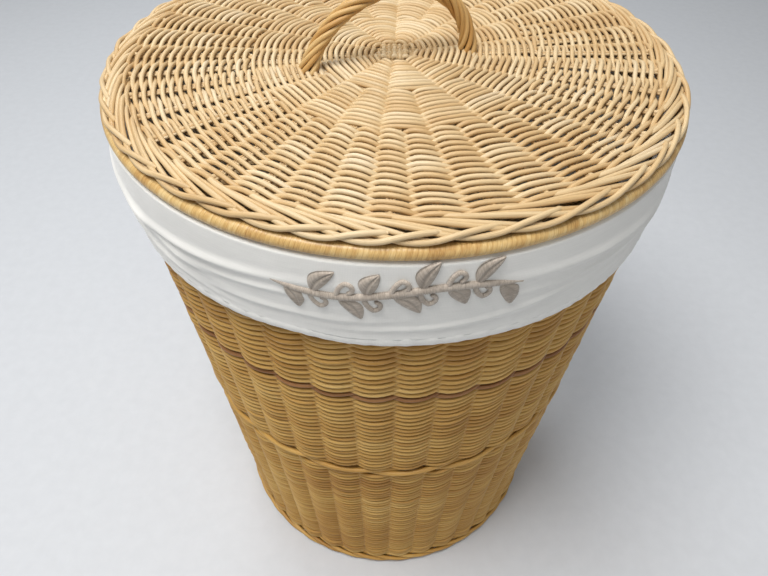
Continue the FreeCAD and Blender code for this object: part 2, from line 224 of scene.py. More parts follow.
# How uneven the weaving is, as shares of a weaver's swing or of its radius.
UNEVEN_SWING = 0.07
UNEVEN_PAIR = 0.05              # height of a pair of weavers, over a diameter
UNEVEN_STRAND = 0.10            # height of one of the two
UNEVEN_CANE = 0.035             # thickness from cane to cane
UNEVEN_ALONG = 0.015            # thickness along a cane


def twined(rows, posts, turn, place, swing, rise, radius, samples, sides, plateau):
    """Pairs of canes that twist round each other between the posts, one pair for each row.

    place(angle, row, out) gives the points and the outward directions for a distance out of the
    middle of the weave. Each cane lies outside every other post and inside the next one, and a
    higher plateau keeps it there for longer."""
    rows = np.repeat(np.asarray(rows, float), 2)
    strands = len(rows)
    angle = np.arange(posts * samples) / (posts * samples) * TURN
    phase = posts / 2 * (angle - turn)
    sign = np.where(np.arange(strands) % 2, 1.0, -1.0)[:, None]
    swap = np.repeat(np.where(RNG.random(strands // 2) < 0.5, 1.0, -1.0), 2)[:, None]
    outward = np.tanh(plateau * np.cos(phase)) / math.tanh(plateau)
    swing = swing * (1 + wander(strands, angle, posts, UNEVEN_SWING))
    out = sign * swap * outward * swing
    level = np.repeat(wander(strands // 2, angle, posts // 2, UNEVEN_PAIR), 2, axis=0) * radius * 2
    level += wander(strands, angle, posts, UNEVEN_STRAND) * radius
    row = rows[:, None] + level + sign * swap * rise * np.sin(phase)
    points, facing = place(angle[None], row, out)
    thick = radius * (1 + RNG.normal(0, UNEVEN_CANE, (strands, 1)))
    thick = thick * (1 + wander(strands, angle, 24, UNEVEN_ALONG))
    return cane_mesh(points, facing, thick, sides, closed=True)


def on_wall(angle, height, out):
    """A place in the thickness of the tapered wall."""
    radius = wall_radius(height) - WALL_DEPTH + out
    angle = np.broadcast_to(angle, radius.shape)
    return polar(radius, angle, height), unit(polar(1.0, angle, -WALL_SLOPE))


CROWD_AT, CROWD_WIDTH, CROWD_SHIFT = -77, 23, 4.0   # degrees


def lid_angle(angle):
    """The lid's spokes are not quite even: they crowd together to the left of its front."""
    away = degrees_past(CROWD_AT, angle)
    return angle - np.radians(CROWD_SHIFT * np.exp(-(away / CROWD_WIDTH) ** 2))


def on_disc(middle, uneven=lid_angle):
    """Places in the thickness of a level disc whose middle is at this height."""
    def place(angle, radius, out):
        return polar(radius, np.broadcast_to(uneven(angle), radius.shape), middle + out), UP
    return place


def rows_between(bottom, top, pitch):
    """Rows of about this pitch that fill a band, the first and last a half pitch inside it."""
    count = max(1, round((top - bottom) / pitch))
    return bottom + (np.arange(count) + 0.5) * (top - bottom) / count


# ---- materials

def linear(red, green, blue):
    """An sRGB colour of 0 to 255 as Blender's linear colour."""
    parts = [part / 255 for part in (red, green, blue)]
    return (*[part / 12.92 if part <= 0.04045 else ((part + 0.055) / 1.055) ** 2.4 for part in parts], 1)


WHITE = (1, 1, 1, 1)


class Shader:
    """A material's nodes, added one after another."""

    def __init__(self, name):
        self.material = bpy.data.materials.new(name)
        self.material.use_nodes = True
        self.nodes = self.material.node_tree.nodes
        self.links = self.material.node_tree.links
        self.surface = self.nodes["Principled BSDF"]

    def node(self, kind, inputs=(), **settings):
        made = self.nodes.new("ShaderNode" + kind)
        for key, value in settings.items():
            setattr(made, key, value)
        for key, value in dict(inputs).items():
            self.put(made.inputs[key], value)
        return made

    def put(self, socket, value):
        if isinstance(value, bpy.types.NodeSocket):
            self.links.new(value, socket)
        else:
            socket.default_value = value

    def place(self):
        return self.node("TexCoord").outputs["Object"]

    def attribute(self, name, output):
        return self.node("Attribute", attribute_name=name).outputs[output]

    def math(self, operation, first, second=0.0):
        return self.node("Math", {0: first, 1: second}, operation=operation).outputs[0]

    def blend(self, *parts, centre=0.5):
        """Values of 0 to 1, each by its own weight, added up about a centre."""
        total = centre - sum(weight for _, weight in parts) / 2
        for value, weight in parts:
            total = self.math("ADD", self.math("MULTIPLY", value, weight), total)
        return total

    def noise(self, vector, scale, detail=3.0, roughness=0.55):
        inputs = {"Vector": vector, "Scale": scale, "Detail": detail, "Roughness": roughness}
        return self.node("TexNoise", inputs).outputs["Fac"]

    def ramp(self, value, stops):
        made = self.node("ValToRGB", {"Fac": value})
        elements = made.color_ramp.elements
        while len(elements) < len(stops):
            elements.new(0.5)
        for element, (place, colour) in zip(elements, stops):
            element.position = place
            element.color = colour
        return made.outputs["Color"]

    def scaled(self, vector, scale, shift=None):
        made = self.node("Mapping", {"Vector": vector, "Scale": scale})
        if shift is not None:
            self.put(made.inputs["Location"], shift)
        return made.outputs["Vector"]

    def multiplied(self, first, second, share):
        made = self.node("Mix", data_type="RGBA", blend_type="MULTIPLY")
        self.put(made.inputs["Factor"], share)
        self.put(made.inputs[6], first)
        self.put(made.inputs[7], second)
        return made.outputs[2]

    def finish(self, colour, roughness, height, bump_size, bump, **surface):
        self.put(self.surface.inputs["Base Color"], colour)
        self.put(self.surface.inputs["Roughness"], roughness)
        normal = self.node("Bump", {"Strength": bump, "Distance": bump_size, "Height": height})
        self.put(self.surface.inputs["Normal"], normal.outputs["Normal"])
        for key, value in surface.items():
            self.put(self.surface.inputs[key.replace("_", " ")], value)
        return self.material


def cane_material(name, tones, own_grain=True):
    """Round cane: a tone for each cane, long fibres, blotches, small dark specks and a soft shine."""
    shader = Shader(name)
    place = shader.place()
    if own_grain:
        tone = shader.attribute("tone", "Fac")
        grain = shader.attribute("grain", "Vector")
        shift = shader.node("CombineXYZ", {"X": shader.math("MULTIPLY", tone, 91.0),
                                           "Y": shader.math("MULTIPLY", tone, 37.0)}).outputs[0]
        fibres = shader.scaled(grain, (9.0, 3.2, 3.2), shift)
        specks = shader.scaled(grain, (190.0, 2.2, 2.2), shift)
    else:
        tone = shader.noise(place, 9.0, 1.0)
        fibres = shader.scaled(place, (700.0, 700.0, 14.0))
        specks = shader.scaled(place, (260.0, 260.0, 160.0))
    fibre = shader.noise(fibres, 2.4, 5.0, 0.6)
    blotch = shader.noise(place, 11.0, 2.0)
    mottle = shader.noise(specks, 1.0, 2.0)
    value = shader.blend((tone, 0.45), (blotch, 0.9), (fibre, 0.6))
    stops = [(index / (len(tones) - 1), linear(*tone_colour)) for index, tone_colour in enumerate(tones)]
    colour = shader.ramp(value, stops)
    lines = shader.ramp(fibre, [(0.30, (0.70, 0.70, 0.70, 1)), (0.52, WHITE)])
    colour = shader.multiplied(colour, lines, 0.8)
    marks = shader.ramp(mottle, [(0.24, (0.46, 0.33, 0.22, 1)), (0.33, WHITE)])
    colour = shader.multiplied(colour, marks, 0.55)
    roughness = shader.blend((fibre, 0.25), centre=0.48)
    return shader.finish(colour, roughness, fibre, 0.25 * MM, bump=0.35, Specular_IOR_Level=0.42)


def peel_material(name, tones):
    """Flat peel wound round the hoop: one tone for each turn, with fine lines along it."""
    shader = Shader(name)
    tone = shader.attribute("tone", "Fac")
    grain = shader.attribute("grain", "Vector")
    place = shader.place()
    fine = shader.noise(shader.scaled(grain, (1500.0, 1.1, 1.1)), 1.0, 3.0)
    value = shader.blend((tone, 0.22), (shader.noise(place, 30.0, 3.0), 0.8), (fine, 0.7))
    stops = [(0.2 + 0.3 * index, linear(*tone_colour)) for index, tone_colour in enumerate(tones)]
    colour = shader.ramp(value, stops)
    edge = shader.ramp(shader.attribute("edge", "Fac"), [(0.0, (0.56, 0.42, 0.28, 1)), (0.16, WHITE)])
    colour = shader.multiplied(colour, edge, 0.6)
    return shader.finish(colour, 0.40, fine, 0.12 * MM, bump=0.4, Specular_IOR_Level=0.5)


def cloth_material(name, pale, shade):
    """Plain-woven cotton: threads both ways, slubs, and a little unevenness in the white."""
    shader = Shader(name)
    place = shader.attribute("cloth", "Vector")
    wave = {"Vector": place, "Distortion": 1.2, "Detail": 1.0, "Detail Scale": 0.02}
    warp = shader.node("TexWave", {**wave, "Scale": 330.0}, bands_direction="X").outputs["Fac"]
    weft = shader.node("TexWave", {**wave, "Scale": 360.0}, bands_direction="Y").outputs["Fac"]
    weave = shader.math("MULTIPLY", warp, weft)
    slub = shader.noise(shader.scaled(place, (40.0, 900.0, 1.0)), 1.0, 3.0)
    cloud = shader.noise(place, 14.0, 3.0)
    value = shader.math("ADD", shader.math("MULTIPLY", cloud, 0.6), shader.math("MULTIPLY", slub, 0.4))
    colour = shader.ramp(value, [(0.25, linear(*shade)), (0.7, linear(*pale))])
    threads = shader.ramp(weave, [(0.0, (0.93, 0.93, 0.935, 1)), (0.6, WHITE)])
    colour = shader.multiplied(colour, threads, 0.7)
    rumple = shader.noise(shader.scaled(place, (26.0, 95.0, 1.0)), 1.0, 2.0)
    height = shader.math("ADD", weave, shader.math("MULTIPLY", slub, 0.6))
    height = shader.math("ADD", height, shader.math("MULTIPLY", rumple, 6.0))
    return shader.finish(colour, 0.92, height, 0.15 * MM, bump=0.35, Specular_IOR_Level=0.2,
                         Sheen_Weight=0.25, Sheen_Roughness=0.5)


def thread_material(name, dark, pale):
    """Satin stitches that lie side by side, with the soft shine of embroidery cotton."""
    shader = Shader(name)
    grain = shader.attribute("grain", "Vector")
    tone = shader.attribute("tone", "Fac")
    stitch = shader.noise(shader.scaled(grain, (1700.0, 0.7, 0.7)), 1.0, 2.0, 0.5)
    value = shader.math("ADD", shader.math("MULTIPLY", stitch, 0.75),
                        shader.math("MULTIPLY", shader.noise(shader.place(), 60.0, 2.0), 0.3))
    value = shader.math("ADD", value, shader.math("MULTIPLY", tone, 0.12))
    colour = shader.ramp(value, [(0.3, linear(*dark)), (0.75, linear(*pale))])
    return shader.finish(colour, 0.62, stitch, 0.3 * MM, bump=0.6, Specular_IOR_Level=0.35,
                         Sheen_Weight=0.35, Sheen_Roughness=0.4)


LID_MATERIAL = cane_material(
    "lid_cane", [(182, 144, 94), (200, 168, 120), (213, 188, 146), (222, 204, 174)])
WALL_MATERIAL = cane_material(
    "wall_cane", [(160, 112, 50), (188, 142, 70), (202, 160, 86), (218, 182, 112)])
DARK_MATERIAL = cane_material("dark_cane", [(124, 80, 42), (146, 100, 56), (166, 120, 72)])
HANDLE_MATERIAL = cane_material(
    "handle_cane", [(166, 118, 58), (192, 148, 86), (206, 168, 108), (218, 188, 134)])
STAKE_MATERIAL = cane_material(
    "stake_cane", [(150, 104, 56), (184, 138, 82), (206, 166, 110)], own_grain=False)
PEEL_MATERIAL = peel_material("hoop_peel", [(176, 132, 72), (206, 170, 108), (224, 198, 144)])
CLOTH_MATERIAL = cloth_material("liner_cloth", (243, 241, 235), (230, 228, 222))
THREAD_MATERIAL = thread_material("embroidery_thread", (136, 122, 108), (198, 186, 172))


# ---- wall of the basket

def wall_band(name, node, pitch, trim=(0, 0), bottom=None, top=None, material=WALL_MATERIAL,
              slot="wall_cane", **change):
    """Twined rows in place of a band, from bottom to top or from edge to edge with a trim."""
    bottom = low(node) + trim[0] * MM if bottom is None else bottom
    top = high(node) + trim[1] * MM if top is None else top
    rows = rows_between(bottom, top, pitch * MM)
    spacing = rows[1] - rows[0] if len(rows) > 1 else pitch * MM
    settings = {
        "posts": STAKES, "turn": STAKE_TURN, "place": on_wall, "swing": WALL_SWING, "rise": spacing / 4,
        "radius": WALL_CANE / 2, "samples": 6, "plateau": 0.7, **change,
    }
    cane_piece(name, [twined(rows, sides=CANE_SIDES, **settings)], "basket", slot, material, node)


def fitch_place(angle, height, out):
    return on_wall(angle, height, out + FITCH_STAND)


def make_wall():
    """The bands of the wall, from the foot to the rim; pitches and trims are in mm."""
    wall_band("upset_wale_canes", "upset_wale", 5.6, (-0.5, -1), radius=2.3 * MM, swing=4.6 * MM)
    middle = (low("lower_weave") + high("lower_weave")) / 2
    wall_band("lower_weave_canes", "lower_weave", 5.9, top=middle)
    wall_band("lower_weave_upper_canes", "lower_weave", 5.9, (0, 1.5), bottom=middle)
    wall_band("fitch_canes", "fitch_band", 12, (2, 1), posts=STAKES // 2, place=fitch_place,
              samples=12, radius=2.4 * MM, swing=2.8 * MM, rise=2.2 * MM)
    wall_band("middle_weave_canes", "middle_weave", 6.0, (-1.5, 0))
    wall_band("accent_canes", "accent_round", 8, (1, -1), material=DARK_MATERIAL, slot="dark_cane",
              radius=2.1 * MM)
    wall_band("upper_weave_canes", "upper_weave", 6.3, radius=2.15 * MM)
    wall_band("rim_canes", "rim_border", 5.6, (0, -1.5), radius=1.8 * MM, swing=3.2 * MM)


def make_stakes():
    """Three thin canes side by side for each upright stake, from the foot to the rim."""
    angle = (STAKE_TURN + np.arange(STAKES) * TURN / STAKES)[:, None]
    height = np.linspace(low("side_stakes"), high("side_stakes"), 40)[None] + 0 * angle
    cane = 1.2 * MM
    apart = 2.05 * cane / (200 * MM)    # between neighbours, where the wall is 200 mm out
    parts = []
    for offset in (-apart, 0, apart):
        points, facing = on_wall(angle + offset, height, 0 * height)
        parts.append(cane_mesh(points, facing, cane, CANE_SIDES, closed=False))
    cane_piece("side_stake_canes", parts, "basket", "stake_cane", WALL_MATERIAL, "side_stakes")


FOOT_MIDDLE = (reach("foot_border") - 7.7 * MM, 7.8 * MM)   # the border's middle, out and up
FOOT_BEND = (5.5 * MM, 5.6 * MM)        # how far its canes lie from that, out and up
FOOT_SPAN = math.radians(36)            # how far round the foot each of them runs
FOOT_ROLL = (math.radians(110), math.radians(250))      # where one starts and how far it rolls


def make_foot():
    """A rolled border: each stake's end runs out, round the foot and in under it."""
    share = np.linspace(0, 1, 22)
    turn = FOOT_ROLL[0] - share * FOOT_ROLL[1]
    starts = STAKE_TURN + np.arange(STAKES) * TURN / STAKES
    angle = starts[:, None] + FOOT_SPAN * share
    radius = FOOT_MIDDLE[0] + FOOT_BEND[0] * np.cos(turn) + RNG.normal(0, 0.15 * MM, (STAKES, 1))
    lines = polar(radius, angle, FOOT_MIDDLE[1] + FOOT_BEND[1] * np.sin(turn))
    facing = polar(np.cos(turn), angle, np.sin(turn))
    canes = cane_mesh(lines, facing, 2.1 * MM, CANE_SIDES, closed=False)
    cane_piece("foot_border_canes", [canes], "basket", "wall_cane", WALL_MATERIAL, "foot_border")


def make_base():
    """Twined disc of the base round the crossing of its sticks."""
    middle = (low("base_split_sticks") + high("base_split_sticks")) / 2
    rows = rows_between(26 * MM, reach("base_weave"), 5.5 * MM)
    canes = twined(rows, posts=20, turn=0.0, place=on_disc(middle, uneven=np.array), swing=3.2 * MM,
                   rise=1.3 * MM, radius=1.7 * MM, samples=10, sides=6, plateau=1.3)
    cane_piece("base_canes", [canes], "basket", "wall_cane", WALL_MATERIAL, "base_weave")


# ---- lid

def lid_band(name, inner, outer, pitch, node, **change):
    """Twined rounds of the lid between two radii, in place of a zone of the frame."""
    rows = rows_between(inner, outer, pitch)
    settings = {"swing": LID_SWING, "rise": (rows[1] - rows[0]) / 4, "radius": LID_CANE / 2,
                "plateau": 1.0, **change}
    canes = twined(rows, place=on_disc(LID_MIDDLE), sides=CANE_SIDES, **settings)
    cane_piece(name, [canes], "lid", "lid_cane", LID_MATERIAL, node)


BUNDLE_OPEN, PAIR_OPEN = 25 * MM, 48 * MM       # radii past which a bundle or a pair draws together


def spoke_angle(index, radius):
    """Direction of a spoke: in bundles of four at the middle, then pairs, then each on its own."""
    own = SPOKE_TURN + index * TURN / SPOKES
    bundle = np.floor((index + 2) / 4) * TURN / 10 + LID_TURN
    pair = (np.floor(index / 2) * 2 + 0.5) * TURN / SPOKES + SPOKE_TURN
    inner = bundle + (own - bundle) * np.clip(BUNDLE_OPEN / radius, 0, 1)
    middle = pair + (own - pair) * np.clip(PAIR_OPEN / radius, 0, 1)
    first, second = (smooth_step((radius - zone + ZONE_BLEND) / (2 * ZONE_BLEND))
                     for zone in (INNER_ZONE, MIDDLE_ZONE))
    return lid_angle(inner * (1 - first) + middle * first * (1 - second) + own * second)


def make_spokes():
    """Three thin canes side by side for each spoke; the outer two begin where the bundles part."""
    parts = []
    index = np.arange(SPOKES)[:, None]
    beside, parting = 2.1 * MM, INNER_ZONE - ZONE_BLEND
    for offset, start in ((0.0, 10 * MM), (-beside, parting), (beside, parting)):
        radius = np.linspace(start, OUTER_ZONE - 1 * MM, 64)[None]
        angle = spoke_angle(index, radius) + offset / radius
        height = LID_MIDDLE + RNG.normal(0, 0.15 * MM, (SPOKES, 1))
        parts.append(cane_mesh(polar(radius, angle, height), UP, 1.05 * MM, CANE_SIDES, closed=False))
    cane_piece("lid_spoke_canes", parts, "lid", "lid_cane", LID_MATERIAL,
               "lid_spokes_inner", "lid_spokes_middle", "lid_spokes_outer")


def make_slath():
    """The check weave of five canes over five in the middle of the lid."""
    parts = []
    pitch, half = 4.2 * MM, 10.6 * MM
    lift, swing = 1.6 * MM, 1.5 * MM
    run = np.linspace(-half, half, 34)
    steps = ((np.arange(5) - 2) * pitch)[:, None]
    for turned_over in (0, 1):
        sign = np.where((np.arange(5) + turned_over) % 2, 1.0, -1.0)[:, None]
        height = LID_MIDDLE + lift + sign * np.cos(math.pi * (run / pitch)) * swing
        level = (run, steps) if turned_over else (steps, run)
        lines = np.stack(np.broadcast_arrays(*level, height), axis=-1)
        parts.append(cane_mesh(lines, UP, 1.95 * MM, CANE_SIDES, closed=False))
    cane_piece("lid_slath_canes", parts, "lid", "lid_cane", LID_MATERIAL,
               "lid_slath_under", "lid_slath_over")


# The two canes that each spoke gives to the lid's border: degrees past the spoke, radius and height
# over the hoop's middle. The long one is laid outwards over its neighbours, dips under the end of an
# earlier one, runs along the edge, comes back over the next one and is cut off inside it. The short
# one lies beside it, between it and the next, and is cut off under the edge.
BORDER_LONG = [
    (0.0, 197, 10.5), (0.0, 203, 12.0), (1.6, 206.0, 13.4), (5.0, 208.8, 13.9), (9.0, 211.6, 13.7),
    (13.5, 215.2, 12.2), (17.5, 218.4, 9.6), (21.5, 220.7, 7.9), (25.5, 221.3, 8.8), (29.5, 220.0, 11.8),
    (33.0, 217.8, 12.2), (35.6, 215.8, 11.0),
]
BORDER_SHORT = [
    (0.8, 203, 9.2), (4.0, 205.6, 11.2), (8.5, 208.3, 12.7), (13.5, 211.8, 12.5), (18.0, 215.4, 10.8),
    (21.5, 218.0, 8.4), (24.0, 219.6, 7.2),
]


def eased(knots, values, places):
    """A smooth curve through knots, by a Catmull-Rom spline."""
    knots, values = np.asarray(knots, float), np.asarray(values, float)
    slopes = np.gradient(values, knots)
    cell = np.clip(np.searchsorted(knots, places, side="right") - 1, 0, len(knots) - 2)
    width = knots[cell + 1] - knots[cell]
    share = (places - knots[cell]) / width
    square, cube = share ** 2, share ** 3
    return ((2 * cube - 3 * square + 1) * values[cell] + (cube - 2 * square + share) * width * slopes[cell]
            + (3 * square - 2 * cube) * values[cell + 1] + (cube - square) * width * slopes[cell + 1])


BORDER_RADIUS = 215             # mm, middle of the border
BORDER_LOOSE = (np.radians(0.3), 0.35 * MM, 0.2 * MM)   # unevenness round, out and up


def border_canes(path, radius_of_cane):
    """The same cane of the border at every spoke, each a little uneven."""
    path = np.array(path)
    steps = np.hypot(np.radians(np.diff(path[:, 0])) * BORDER_RADIUS, np.diff(path[:, 1]))
    travel = np.concatenate([[0], np.cumsum(steps)])
    places = np.linspace(0, travel[-1], 72)
    degrees, radius, height = (eased(travel, path[:, column], places) for column in range(3))
    starts = SPOKE_TURN + np.arange(SPOKES) * TURN / SPOKES
    loose = RNG.normal(0, 1.0, (SPOKES, 3))
    late = smooth_step((degrees - 3) / 12)
    angle = lid_angle(starts[:, None] + np.radians(degrees) + BORDER_LOOSE[0] * loose[:, :1] * late)
    radius = radius * MM + BORDER_LOOSE[1] * loose[:, 1:2] * late
    height = HOOP_HEIGHT + height * MM + BORDER_LOOSE[2] * loose[:, 2:] * late
    return cane_mesh(polar(radius, angle, height), UP, radius_of_cane, 10, closed=False)


def make_border():
    """The plaited edge of the lid: every spoke is bent over and plaited with its neighbours."""
    canes = [border_canes(BORDER_LONG, 1.9 * MM), border_canes(BORDER_SHORT, 1.65 * MM)]
    cane_piece("lid_border_canes", canes, "lid", "lid_cane", LID_MATERIAL, "lid_border")


def make_hoop():
    """Peel wound round the hoop, each turn lapped on the edge of the one before."""
    turns, steps, sides = 460, 4, 20
    place = np.arange(turns * steps)
    around = place / len(place) * TURN
    lap = (place % steps) / (steps - 1)
    tube = np.arange(sides) / sides * TURN
    lean = 0.006 * np.sin(tube)         # radians round the lid, from the slant of the winding
    thick = HOOP_THICK - 0.16 * MM + 0.14 * MM * lap
    thick = thick * (1 + wander(1, around, 60, 0.012)[0])
    points = polar(HOOP_RADIUS + thick[:, None] * np.cos(tube), around[:, None] + lean,
                   HOOP_HEIGHT + thick[:, None] * np.sin(tube))
    index = np.arange(points.shape[0] * sides).reshape(-1, sides)
    after = np.roll(index, -1, axis=0)
    quads = np.stack([index, after, np.roll(after, -1, axis=1), np.roll(index, -1, axis=1)],
                     axis=-1).reshape(-1, 4)
    tone = np.repeat(RNG.random(turns) ** 1.3, steps)[:, None] + np.zeros(sides)
    edge = lap[:, None] + np.zeros(sides)
    along = around[:, None] * HOOP_RADIUS + np.zeros(sides)
    grain = np.stack(np.broadcast_arrays(along, np.cos(tube), np.sin(tube)), axis=-1)
    piece = mesh_piece("lid_hoop_wrapping", points, [quads], "lid", PEEL_MATERIAL,
                       {"tone": tone, "edge": edge, "grain": grain})
    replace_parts(piece, "lid_hoop_wrap")


def make_locating_ring():
    """The low twined ring under the lid, with a short stick every so often."""
    middle = reach("lid_locating_ring") - 2.6 * MM
    posts = 60

    def place(angle, height, out):
        radius = middle + out
        return polar(radius, np.broadcast_to(angle, radius.shape), height), polar(1.0, angle, 0.0)

    rows = rows_between(low("lid_locating_ring") + 1 * MM, low("lid_weave_outer"), 4.4 * MM)
    canes = twined(rows, posts=posts, turn=0.0, place=place, swing=2.1 * MM, rise=1.0 * MM,
                   radius=1.5 * MM, samples=4, sides=6, plateau=1.2)
    angle = np.arange(posts)[:, None] / posts * TURN
    height = np.linspace(low("lid_locating_ring"), low("lid_weave_outer") + 2 * MM, 4)
    sticks = cane_mesh(polar(middle, angle, height), polar(1.0, angle, 0.0), 1.1 * MM, 6, closed=False)
    cane_piece("lid_locating_ring_canes", [canes, sticks], "lid", "lid_cane", LID_MATERIAL,
               "lid_locating_ring")


def make_lid():
    """The zones of the lid, from its crossing out, and all that is woven into them."""
    lid_band("lid_inner_canes", 15 * MM, INNER_ZONE, 4.5 * MM, "lid_weave_inner",
             posts=10, turn=LID_TURN, samples=16, plateau=1.4)
    lid_band("lid_middle_canes", INNER_ZONE, MIDDLE_ZONE, 4.9 * MM, "lid_weave_middle",
             posts=20, turn=math.radians(9) + LID_TURN, samples=12, plateau=1.2)
    lid_band("lid_outer_canes", MIDDLE_ZONE, OUTER_ZONE, 6.35 * MM, "lid_weave_outer",
             posts=SPOKES, turn=SPOKE_TURN, samples=7, rise=1.6 * MM)
    make_slath()
    make_spokes()
    make_border()
    make_hoop()
    make_locating_ring()


# ---- handle

HANDLE_SPAN = 126.7 * MM        # from foot to foot
HANDLE_RISE = 52 * MM
HANDLE_CROWN = 73 * MM          # from the left foot to below the crown
HANDLE_FOOT = Vector((-64 * MM, -30 * MM, high("lid_weave_outer")))
HANDLE_TURN = math.radians(16.5)
HANDLE_RADIUS = 6.25 * MM
HANDLE_SUNK = 6 * MM            # how deep the feet go below the top of the weave
HANDLE_SPACING = 1.2 * MM       # between the points of its centre line


def handle_line():
    """Centre line of the handle, its tangents and the way that its upright plane faces."""
    places = []
    for reach_out, side in ((HANDLE_CROWN, -1), (HANDLE_SPAN - HANDLE_CROWN, 1)):
        radius = (reach_out ** 2 + HANDLE_RISE ** 2) / (2 * HANDLE_RISE)
        drop = math.acos(1 - (HANDLE_RISE + HANDLE_SUNK) / radius)
        angles = np.linspace(drop, 0, max(4, round(radius * drop / HANDLE_SPACING)))
        arc = np.stack([HANDLE_CROWN + side * radius * np.sin(angles),
                        HANDLE_RISE - radius * (1 - np.cos(angles))], axis=-1)
        places.append(arc if side < 0 else arc[::-1][1:])
    flat = np.concatenate(places)
    across = np.array([math.cos(HANDLE_TURN), math.sin(HANDLE_TURN), 0])
    line = np.array(HANDLE_FOOT) + flat[:, :1] * across + flat[:, 1:] * UP
    plane = np.array([-across[1], across[0], 0])
    return line, unit(np.gradient(line, axis=0)), plane


def make_handle():
    """Seven canes twisted round the core of the handle; they spread where they enter the lid."""
    line, ahead, plane = handle_line()
    normal = np.cross(plane, ahead)
    travel = np.concatenate([[0], np.cumsum(np.linalg.norm(np.diff(line, axis=0), axis=1))])
    canes, cane = 7, 1.95 * MM
    lead = 82 * MM                      # length of one whole twist
    turn = (TURN * travel / lead)[None] + (np.arange(canes) * TURN / canes)[:, None]
    turn = turn + 0.10 * wander(canes, travel / travel[-1] * TURN * 0.99, 9, 1.0)
    foot = np.minimum(travel, travel[-1] - travel)
    spread = 1.9 * MM * np.exp(-(foot / (13 * MM)) ** 2)
    out = np.cos(turn)[..., None] * normal + np.sin(turn)[..., None] * plane
    lines = line + (HANDLE_RADIUS - cane + spread)[:, None] * out
    cane_piece("handle_rope_canes", [cane_mesh(lines, out, cane, 10, closed=False)], "lid", "handle_cane",
               HANDLE_MATERIAL, "handle_roping")


# ---- liner

CLOTH = 0.9 * MM
CUFF_BOTTOM = low("cuff_hem")
CUFF_TOP = high("liner_cuff")
CUFF_GAP = 1.8 * MM             # cloth's outer face over the wall
RIM_DRAW = 0.9 * MM             # how much closer the cloth is drawn over the rim
HEM_GAP = 2.2 * MM              # middle of the hem's casing over the wall
HEM_RADIUS, BAG_RADIUS = 220 * MM, 190 * MM     # over which their threads are counted
COLUMNS = 720
AROUND = np.arange(COLUMNS) / COLUMNS * TURN - math.pi


def cloth_piece(name, surface, normal, cloth_place, node):
    """A cloth shell of even thickness on a grid of points (rows, columns, 3) that closes round."""
    rows, columns, _ = surface.shape
    points = np.concatenate([surface.reshape(-1, 3), (surface - CLOTH * normal).reshape(-1, 3)])
    index = np.arange(rows * columns).reshape(rows, columns)
    after = np.roll(index, -1, axis=1)
    back = rows * columns
    outer = np.stack([index[:-1], after[:-1], after[1:], index[1:]], axis=-1).reshape(-1, 4)
    first = np.stack([index[0] + back, after[0] + back, after[0], index[0]], axis=-1)
    last = np.stack([index[-1], after[-1], after[-1] + back, index[-1] + back], axis=-1)
    faces = [outer, outer[:, ::-1] + back, first, last]
    place = np.concatenate([cloth_place.reshape(-1, 3)] * 2)
    piece = mesh_piece(name, points, faces, "basket", CLOTH_MATERIAL, {"cloth": place})
    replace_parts(piece, node)
    return piece


def grid_normals(surface):
    """Outward normals of a grid that is closed along its columns."""
    around = np.roll(surface, -1, axis=1) - np.roll(surface, 1, axis=1)
    up = np.gradient(surface, axis=0)
    return unit(np.cross(around, up))


# Folds of the cuff: direction in degrees, half-length in degrees, height up the cuff from 0 at the
# hem to 1 at the rim, climb over that length, half-width in mm and depth in mm.
CUFF_FOLDS = [
    (-128, 24, 0.60, 0.10, 4.0, 2.6), (-118, 20, 0.50, 0.08, 3.0, 1.3), (-150, 26, 0.58, -0.20, 4.6, 2.8),
    (-164, 22, 0.38, -0.20, 5.0, 2.6), (-110, 26, 0.30, 0.05, 3.2, 1.1), (-138, 20, 0.24, -0.06, 3.4, 1.7),
    (-132, 16, 0.40, 0.05, 2.6, 1.0), (-176, 18, 0.26, 0.12, 4.2, 2.0), (-84, 16, 0.24, 0.03, 3.0, 1.3),
    (-66, 18, 0.33, 0.09, 3.2, 1.5), (-48, 26, 0.64, -0.07, 5.0, 2.6), (-54, 20, 0.48, -0.04, 3.0, 1.2),
    (-24, 22, 0.50, 0.20, 5.0, 2.6), (-34, 18, 0.26, 0.10, 3.2, 1.5), (-10, 20, 0.32, 0.18, 4.0, 2.2),
    (2, 18, 0.66, 0.16, 4.2, 2.2), (24, 26, 0.42, -0.18, 5.0, 2.7), (34, 18, 0.24, 0.08, 3.2, 1.4),
    (48, 20, 0.62, 0.18, 4.6, 2.3), (76, 26, 0.38, -0.15, 5.0, 2.7), (88, 18, 0.60, -0.10, 3.4, 1.5),
    (104, 20, 0.58, 0.20, 4.6, 2.3), (132, 24, 0.42, 0.20, 5.0, 2.7), (144, 18, 0.26, -0.08, 3.2, 1.6),
    (156, 18, 0.64, -0.16, 4.6, 2.3),
]


def cuff_gathers(angle):
    """The fine gathers that the elastic draws in the hem."""
    coarse = np.cos(angle * 96 + 2.2 * np.sin(angle * 7))
    fine = np.cos(angle * 151 + 1.7 * np.sin(angle * 5))
    return 0.16 * MM * (coarse + 0.6 * fine)


